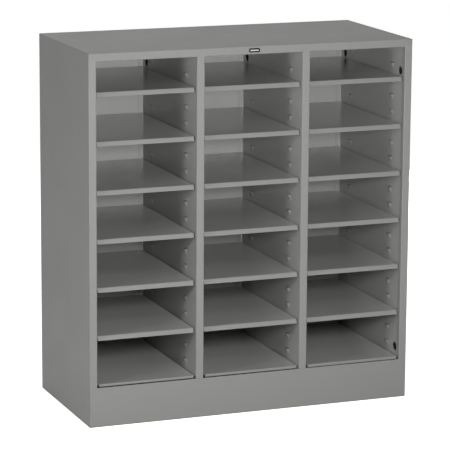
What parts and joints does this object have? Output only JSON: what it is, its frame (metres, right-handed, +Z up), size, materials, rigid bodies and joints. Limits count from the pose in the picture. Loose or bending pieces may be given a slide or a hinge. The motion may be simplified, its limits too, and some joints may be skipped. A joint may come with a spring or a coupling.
{
  "type": "compartment cabinet",
  "caption": "Free-standing grey sheet-steel cabinet with open-front compartments between double-walled uprights, loose adjustable shelves on pressed-out lugs, and a closed kick base.",
  "frame": {"origin": "on the floor, under the middle of the cabinet's plan", "axes": "+Z up, -Y out of the open front, +X to the right as seen from the front"},
  "size_m": [0.857, 0.4015, 0.93],
  "materials": {
    "shell_enamel": "medium grey baked enamel, semi-gloss, fine orange peel",
    "wall_enamel": "medium grey baked enamel, semi-gloss, fine orange peel",
    "deck_enamel": "medium grey baked enamel, semi-gloss, fine orange peel",
    "badge_face": "blank pale plate with a dark edge"
  },
  "bodies": {
    "cabinet": {"top_panel": "shell_enamel", "left_side_panel": "shell_enamel", "right_side_panel": "shell_enamel", "back_panel": "shell_enamel", "kick_plate": "shell_enamel", "left_liner": "wall_enamel", "right_liner": "wall_enamel", "left_divider": "wall_enamel", "right_divider": "wall_enamel", "left_floor": "deck_enamel", "centre_floor": "deck_enamel", "right_floor": "deck_enamel", "badge_plate": "badge_face"},
    "left_shelf_1": {"left_shelf_1": "deck_enamel"},
    "left_shelf_2": {"left_shelf_2": "deck_enamel"},
    "left_shelf_3": {"left_shelf_3": "deck_enamel"},
    "left_shelf_4": {"left_shelf_4": "deck_enamel"},
    "left_shelf_5": {"left_shelf_5": "deck_enamel"},
    "left_shelf_6": {"left_shelf_6": "deck_enamel"},
    "centre_shelf_1": {"centre_shelf_1": "deck_enamel"},
    "centre_shelf_2": {"centre_shelf_2": "deck_enamel"},
    "centre_shelf_3": {"centre_shelf_3": "deck_enamel"},
    "centre_shelf_4": {"centre_shelf_4": "deck_enamel"},
    "centre_shelf_5": {"centre_shelf_5": "deck_enamel"},
    "centre_shelf_6": {"centre_shelf_6": "deck_enamel"},
    "right_shelf_1": {"right_shelf_1": "deck_enamel"},
    "right_shelf_2": {"right_shelf_2": "deck_enamel"},
    "right_shelf_3": {"right_shelf_3": "deck_enamel"},
    "right_shelf_4": {"right_shelf_4": "deck_enamel"},
    "right_shelf_5": {"right_shelf_5": "deck_enamel"},
    "right_shelf_6": {"right_shelf_6": "deck_enamel"}
  },
  "joints": [
    {"name": "left_shelf_1_pull", "type": "slide", "parent": "cabinet", "child": "left_shelf_1", "axis": [0, -1, 0], "range_m": [0, 0.4]},
    {"name": "left_shelf_2_pull", "type": "slide", "parent": "cabinet", "child": "left_shelf_2", "axis": [0, -1, 0], "range_m": [0, 0.4]},
    {"name": "left_shelf_3_pull", "type": "slide", "parent": "cabinet", "child": "left_shelf_3", "axis": [0, -1, 0], "range_m": [0, 0.4]},
    {"name": "left_shelf_4_pull", "type": "slide", "parent": "cabinet", "child": "left_shelf_4", "axis": [0, -1, 0], "range_m": [0, 0.4]},
    {"name": "left_shelf_5_pull", "type": "slide", "parent": "cabinet", "child": "left_shelf_5", "axis": [0, -1, 0], "range_m": [0, 0.4]},
    {"name": "left_shelf_6_pull", "type": "slide", "parent": "cabinet", "child": "left_shelf_6", "axis": [0, -1, 0], "range_m": [0, 0.4]},
    {"name": "centre_shelf_1_pull", "type": "slide", "parent": "cabinet", "child": "centre_shelf_1", "axis": [0, -1, 0], "range_m": [0, 0.4]},
    {"name": "centre_shelf_2_pull", "type": "slide", "parent": "cabinet", "child": "centre_shelf_2", "axis": [0, -1, 0], "range_m": [0, 0.4]},
    {"name": "centre_shelf_3_pull", "type": "slide", "parent": "cabinet", "child": "centre_shelf_3", "axis": [0, -1, 0], "range_m": [0, 0.4]},
    {"name": "centre_shelf_4_pull", "type": "slide", "parent": "cabinet", "child": "centre_shelf_4", "axis": [0, -1, 0], "range_m": [0, 0.4]},
    {"name": "centre_shelf_5_pull", "type": "slide", "parent": "cabinet", "child": "centre_shelf_5", "axis": [0, -1, 0], "range_m": [0, 0.4]},
    {"name": "centre_shelf_6_pull", "type": "slide", "parent": "cabinet", "child": "centre_shelf_6", "axis": [0, -1, 0], "range_m": [0, 0.4]},
    {"name": "right_shelf_1_pull", "type": "slide", "parent": "cabinet", "child": "right_shelf_1", "axis": [0, -1, 0], "range_m": [0, 0.4]},
    {"name": "right_shelf_2_pull", "type": "slide", "parent": "cabinet", "child": "right_shelf_2", "axis": [0, -1, 0], "range_m": [0, 0.4]},
    {"name": "right_shelf_3_pull", "type": "slide", "parent": "cabinet", "child": "right_shelf_3", "axis": [0, -1, 0], "range_m": [0, 0.4]},
    {"name": "right_shelf_4_pull", "type": "slide", "parent": "cabinet", "child": "right_shelf_4", "axis": [0, -1, 0], "range_m": [0, 0.4]},
    {"name": "right_shelf_5_pull", "type": "slide", "parent": "cabinet", "child": "right_shelf_5", "axis": [0, -1, 0], "range_m": [0, 0.4]},
    {"name": "right_shelf_6_pull", "type": "slide", "parent": "cabinet", "child": "right_shelf_6", "axis": [0, -1, 0], "range_m": [0, 0.4]}
  ]
}
